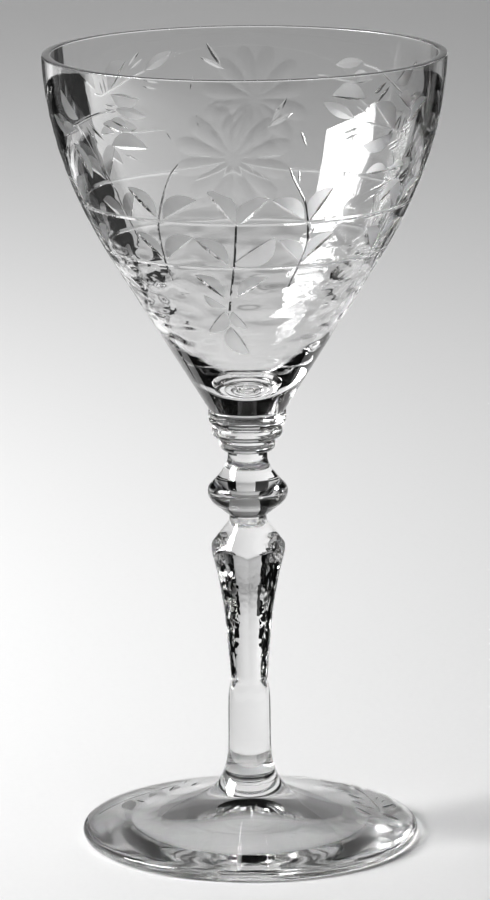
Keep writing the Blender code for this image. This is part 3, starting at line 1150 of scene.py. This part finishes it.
def pressed_radius(reach, angle, height, stem):
    """Radius to which the panels press the blank, at an angle round the axis and a height."""
    apothem = panel_apothem(height)
    pressed = math.inf
    for index in range(stem.panels):
        lean = math.cos(angle - math.tau / stem.panels * (index + 0.5))
        if lean > PANEL_REACH:
            limit = apothem / lean
            pressed = limit if pressed == math.inf else rounded_least(pressed, limit, stem.edge_round)
    return rounded_least(reach, pressed, stem.edge_round)


class CUTGLASS_OT_stem(bpy.types.Operator):
    """Turn the stem and press its panels"""

    bl_idname = "cutglass.stem"
    bl_label = "Panelled stem"

    def execute(self, context):
        stem = context.scene.cut_stem
        glass = context.scene.cut_glass
        materials = glass_set("stem", glass)
        chill(materials[WALL], glass.drag, DRAG_HEIGHTS, DRAG_FINENESS, DRAG_STRETCH)
        shape = turn(stem_profile(stem), STEM_STEPS)
        mark_welds(shape, [(KNOP_WELD, stem.neck_radius), (FOOT_WELD, FLARE_RADIUS)])
        for vert in shape.verts:
            reach = math.hypot(vert.co.x, vert.co.y)
            within_blank = PANEL_FOOT - PANEL_RUNOUT <= vert.co.z <= KNOP_WELD - MERGE_DISTANCE
            if within_blank and reach >= stem.neck_radius / 2:
                radius = pressed_radius(reach, math.atan2(vert.co.x, -vert.co.y), vert.co.z, stem)
                vert.co.x *= radius / reach
                vert.co.y *= radius / reach
        finish_piece("panelled_stem", shape, materials, "stem")
        return {"FINISHED"}


def foot_top():
    """Profile points, (radius, height), of the foot's top."""
    return bezier((FLARE_RADIUS, FOOT_WELD), FOOT_INNER_PULL, FOOT_OUTER_PULL, FOOT_BRIM)


def hollow_height(radius):
    """Height of the hollow under the foot: a cone with a rounded nose."""
    reach = math.hypot(radius, HOLLOW_NOSE) - HOLLOW_NOSE
    whole = math.hypot(RESTING_INNER, HOLLOW_NOSE) - HOLLOW_NOSE
    return HOLLOW_HEIGHT * (1.0 - reach / whole) ** HOLLOW_SWEEP


class CUTGLASS_OT_foot(bpy.types.Operator):
    """Turn the foot and cut its leaf sprays"""

    bl_idname = "cutglass.foot"
    bl_label = "Cut foot"

    def execute(self, context):
        foot = context.scene.cut_foot
        # The foot's deeper tint is painted shade
        materials = glass_set("foot", context.scene.cut_glass, FOOT_SHADE_POWER)
        edge_reach = foot.radius - FOOT_EDGE_ROUND
        edge = arc(edge_reach, FOOT_EDGE_ROUND, FOOT_EDGE_ROUND, FOOT_EDGE_SWEEP, -FOOT_EDGE_SWEEP)
        ring = (RESTING_OUTER, 0.0)
        resting = [ring] + run_between(ring, (RESTING_INNER, 0.0), RESTING_STEP)
        hollow_radii = steps_between(RESTING_INNER, 0.0, 2 * CURVE_STEPS)[1:]
        hollow = [(radius, hollow_height(radius)) for radius in hollow_radii]
        shape = turn([(0.0, FOOT_WELD)] + foot_top() + edge + resting + hollow, WIDE_STEPS)
        mark_welds(shape, [(FOOT_WELD, FLARE_RADIUS)])
        for face in shape.faces:
            # The ring the foot stands on gets real wear roughness and a darker tint that is painted contact
            # shade
            if all(abs(vert.co.z) < MERGE_DISTANCE for vert in face.verts):
                face.material_index = WORN_SHADED
        piece = finish_piece("cut_foot", shape, materials, "foot")
        pattern = Pattern(context.scene.cut_wheel, FootTop(), materials)
        for index in range(foot.sprays):
            degrees = FIRST_SPRAY + SPRAY_TURN * index
            pattern.motif(FOOT_SPRAY_STALKS, FOOT_SPRAY_LEAVES, FOOT_SPRAY_TICKS, degrees)
        pattern.cut(piece)
        smooth_faces(piece.data)
        return {"FINISHED"}


# Stage

# Floor and lamps: places, sizes, what the window faces, and its roll in degrees
FLOOR_RADIUS = 6.0
FLOOR_DROP = 0.05 * MM
WINDOW_PLACE = (-0.692, -0.007, 0.465)
WINDOW_AIM = (-0.342, 0.527, 0.0)
WINDOW_SIZE = (0.64, 0.32)
WINDOW_ROLL = 4.0
FILL_PLACE = (0.0, 0.5, 2.0)
FILL_SIZE = (2.0, 2.0)

# Dark and grey cloth on the floor round the glass, seen only in the glass, so that its edges darken:
# painted dark reflections. Inner and outer reach, then the bearings of the two sides, in degrees from +Y
# towards +X
DARK_FLAGS = (
    (0.40, 0.75, 24.0, 90.0),
    (0.40, 0.75, 280.0, 335.0),
    (0.34, 2.00, 12.5, 24.0),
    (0.24, 0.34, 24.0, 75.0),
    (0.24, 0.34, 285.0, 335.0),
    (0.125, 0.24, 75.0, 95.0),
    (0.125, 0.24, 270.0, 320.0),
    (0.033, 0.125, 60.0, 300.0),
)
GREY_FLAGS = (
    (0.35, 2.00, -25.0, -8.0),
)
FLAG_RISE = 0.1 * MM

# Facets: steps round the floor, and along a flag or a bend
FLOOR_STEPS = 96
BEND_STEPS = 24

# Paper swept up behind the glass, which the camera sees only in the glass: where it leaves the floor, the
# radius of its bend, its height, the heights between which it darkens with painted shade, and its left and
# right ends
SWEEP_START = 1.25
SWEEP_BEND = 0.3
SWEEP_HEIGHT = 1.0
SWEEP_SHADE_HEIGHTS = (0.3, 0.4)
SWEEP_ENDS = (-0.355, 0.595)

# Matt paper: roughness, gloss, and the fibre's features per metre, detail and tones
PAPER_ROUGHNESS = 0.9
PAPER_GLOSS = 0.1
FIBRE_FINENESS = 900.0
FIBRE_DETAIL = 3.0
FIBRE_TONES = (0.985, 1.015)

# Colour sockets of a mix node
MIX_FIRST, MIX_SECOND, MIX_RESULT = 6, 7, 2

# Camera: its place, its turns in degrees, its lens and sensor in mm, and how far it sees
CAMERA_PLACE = (0.0, -0.8128, 0.2528)
CAMERA_PITCH = 12.69
CAMERA_ROLL = -0.442
CAMERA_YAW = 0.0306
CAMERA_LENS = 190.15
SENSOR_HEIGHT = 36.0
CAMERA_REACH = 20.0

# Bounces of light, enough to pass through every wall
GLASS_BOUNCES = 32


def stage_piece(name, shape, material):
    """Makes the bmesh a part of the studio."""
    piece = add_piece(name, shape, [material], bpy.context.scene.collection)
    return piece


def set_flag(flag, cloth):
    """Lays a flag on the floor, seen only in the glass: a painted dark reflection."""
    reach, end, first, last = flag
    shape = bmesh.new()
    corners = [shape.verts.new((0.0, length, FLAG_RISE)) for length in (reach, end)]
    edge = shape.edges.new(corners)
    rotate(shape, -math.radians(first), "Z")
    bmesh.ops.spin(
        shape, geom=corners + [edge], cent=(0, 0, 0), axis=(0.0, 0.0, -1.0),
        angle=math.radians(last - first), steps=BEND_STEPS)
    piece = stage_piece("flag", shape, cloth)
    piece.visible_camera = False
    piece.visible_diffuse = False
    piece.visible_shadow = False


def sweep_paper(paper):
    """Bends the paper up from the floor behind the glass."""
    shape = bmesh.new()
    ends = [shape.verts.new((end, SWEEP_START, 0.0)) for end in SWEEP_ENDS]
    edge = shape.edges.new(ends)
    bent = bmesh.ops.spin(
        shape, geom=ends + [edge], cent=(0.0, SWEEP_START, SWEEP_BEND), axis=(1.0, 0.0, 0.0),
        angle=math.pi / 2, steps=BEND_STEPS)
    raised = bmesh.ops.extrude_edge_only(shape, edges=only(bent["geom_last"], bmesh.types.BMEdge))
    corners = only(raised["geom"], bmesh.types.BMVert)
    bmesh.ops.translate(shape, verts=corners, vec=(0.0, 0.0, SWEEP_HEIGHT - SWEEP_BEND))
    bmesh.ops.recalc_face_normals(shape, faces=shape.faces[:])
    piece = stage_piece("sweep", shape, paper)
    piece.data.shade_smooth()
    piece.visible_camera = False


def mix_base(material, share, first, second):
    """Makes the base colour of a material a mix of two, by a share of the second."""
    mix = add_node(material, "Mix")
    mix.data_type = "RGBA"
    set_inputs(mix, {MIX_FIRST: first, MIX_SECOND: second})
    join(
        material,
        (share, mix.inputs["Factor"]),
        (mix.outputs[MIX_RESULT], shader_of(material).inputs["Base Color"]))
    return mix


def matt_paper(name, colour):
    """Matt paper with a faint fibre."""
    material = new_material(name)
    set_inputs(shader_of(material), {"Roughness": PAPER_ROUGHNESS, "Specular IOR Level": PAPER_GLOSS})
    tones = [[channel * tone for channel in colour[:3]] + [1.0] for tone in FIBRE_TONES]
    mix_base(material, noise_of(material, FIBRE_FINENESS, FIBRE_DETAIL), *tones)
    return material


def paper_with_painted_shade(name, low_colour, top_colour, fade):
    """Matt paper that turns from one colour to another between two heights: painted shade on the upper
    paper.
    """
    material = matt_paper(name, low_colour)
    fibre = shader_of(material).inputs["Base Color"].links[0].from_socket
    mix = mix_base(material, height_share(material, *fade), low_colour, top_colour)
    join(material, (fibre, mix.inputs[MIX_FIRST]))
    return material


def matt_cloth(name, shade):
    """Cloth without any gloss."""
    material = new_material(name)
    colour = (shade, shade, shade, 1.0)
    set_inputs(shader_of(material), {"Base Color": colour, "Roughness": 1.0, "Specular IOR Level": 0.0})
    return material


def dim_room(stage):
    """A dark room."""
    world = bpy.data.worlds.new("room")
    world.use_nodes = True
    world.node_tree.nodes["Background"].inputs["Color"].default_value = stage.room_colour
    return world


def soft_light(name, place, aim, size, power, roll=0.0):
    """A rectangular lamp that faces a point."""
    light = bpy.data.lights.new(name, "AREA")
    light.shape = "RECTANGLE"
    light.size, light.size_y = size
    light.energy = power
    lamp = bpy.data.objects.new(name, light)
    lamp.location = place
    facing = (Vector(aim) - Vector(place)).to_track_quat("-Z", "Y").to_matrix()
    lamp.rotation_euler = (facing @ Matrix.Rotation(math.radians(roll), 3, "Z")).to_euler()
    bpy.context.scene.collection.objects.link(lamp)
    return lamp


class CUTGLASS_OT_stage(bpy.types.Operator):
    """Set the floor, the soft window light and the camera"""

    bl_idname = "cutglass.stage"
    bl_label = "Studio"

    def execute(self, context):
        stage = context.scene.cut_stage
        scene = context.scene
        shape = bmesh.new()
        bmesh.ops.create_circle(shape, cap_ends=True, segments=FLOOR_STEPS, radius=FLOOR_RADIUS)
        shift(shape, 0.0, 0.0, -FLOOR_DROP)
        stage_piece("floor", shape, matt_paper("pale_paper", stage.floor_colour))
        painted_dark_reflection = matt_cloth("painted_dark_reflection", stage.dark_shade)
        painted_grey_reflection = matt_cloth("painted_grey_reflection", stage.grey_shade)
        for flag in DARK_FLAGS:
            set_flag(flag, painted_dark_reflection)
        for flag in GREY_FLAGS:
            set_flag(flag, painted_grey_reflection)
        # The upper part of the sweep is painted darker: painted shade
        sweep_paper(paper_with_painted_shade("white_paper", stage.sweep_colour, stage.sweep_top_shade, SWEEP_SHADE_HEIGHTS))

        soft_light("window", WINDOW_PLACE, WINDOW_AIM, WINDOW_SIZE, stage.window_power, WINDOW_ROLL)
        fill = soft_light("fill", FILL_PLACE, (0.0, FILL_PLACE[1], 0.0), FILL_SIZE, stage.fill_power)
        fill.visible_glossy = False
        fill.visible_transmission = False
        scene.world = dim_room(stage)

        lens = bpy.data.cameras.new("camera")
        lens.sensor_fit = "VERTICAL"
        lens.sensor_height = SENSOR_HEIGHT
        lens.lens = CAMERA_LENS
        lens.clip_end = CAMERA_REACH
        camera = bpy.data.objects.new("camera", lens)
        camera.location = CAMERA_PLACE
        look = Matrix.Rotation(math.radians(CAMERA_YAW), 4, "Z")
        look = look @ Matrix.Rotation(math.radians(90.0 - CAMERA_PITCH), 4, "X")
        look = look @ Matrix.Rotation(math.radians(CAMERA_ROLL), 4, "Z")
        camera.rotation_euler = look.to_euler()
        scene.collection.objects.link(camera)
        scene.camera = camera
        scene.view_settings.view_transform = "Standard"
        scene.cycles.max_bounces = GLASS_BOUNCES
        scene.cycles.transmission_bounces = GLASS_BOUNCES
        scene.cycles.glossy_bounces = GLASS_BOUNCES
        scene.cycles.transparent_max_bounces = GLASS_BOUNCES
        scene.cycles.sample_clamp_indirect = 0.0
        scene.cycles.blur_glossy = 0.0
        return {"FINISHED"}


SETTINGS = {
    "cut_bowl": BowlSettings,
    "cut_wheel": WheelSettings,
    "cut_stem": StemSettings,
    "cut_foot": FootSettings,
    "cut_glass": GlassSettings,
    "cut_stage": StageSettings,
}
OPERATORS = (
    CUTGLASS_OT_stage,
    CUTGLASS_OT_foot,
    CUTGLASS_OT_stem,
    CUTGLASS_OT_knop,
    CUTGLASS_OT_collars,
    CUTGLASS_OT_bowl,
)


class CUTGLASS_PT_panel(bpy.types.Panel):
    """Sizes, finish and steps of the cut glass"""

    bl_idname = "CUTGLASS_PT_panel"
    bl_label = "Cut Glass"
    bl_space_type = "VIEW_3D"
    bl_region_type = "UI"
    bl_category = "Cut Glass"

    def draw(self, context):
        for operator in OPERATORS:
            self.layout.operator(operator.bl_idname)
        for name, group in SETTINGS.items():
            box = self.layout.box()
            settings = getattr(context.scene, name)
            for field in group.__annotations__:
                box.prop(settings, field)


def register():
    for group in SETTINGS.values():
        bpy.utils.register_class(group)
    for name, group in SETTINGS.items():
        setattr(bpy.types.Scene, name, PointerProperty(type=group))
    for operator in OPERATORS:
        bpy.utils.register_class(operator)
    bpy.utils.register_class(CUTGLASS_PT_panel)


def unregister():
    bpy.utils.unregister_class(CUTGLASS_PT_panel)
    for operator in reversed(OPERATORS):
        bpy.utils.unregister_class(operator)
    for name in SETTINGS:
        delattr(bpy.types.Scene, name)
    for group in reversed(SETTINGS.values()):
        bpy.utils.unregister_class(group)


def main():
    register()
    bpy.ops.cutglass.stage()
    bpy.ops.cutglass.foot()
    bpy.ops.cutglass.stem()
    bpy.ops.cutglass.knop()
    bpy.ops.cutglass.collars()
    bpy.ops.cutglass.bowl()


if __name__ == "__main__":
    main()
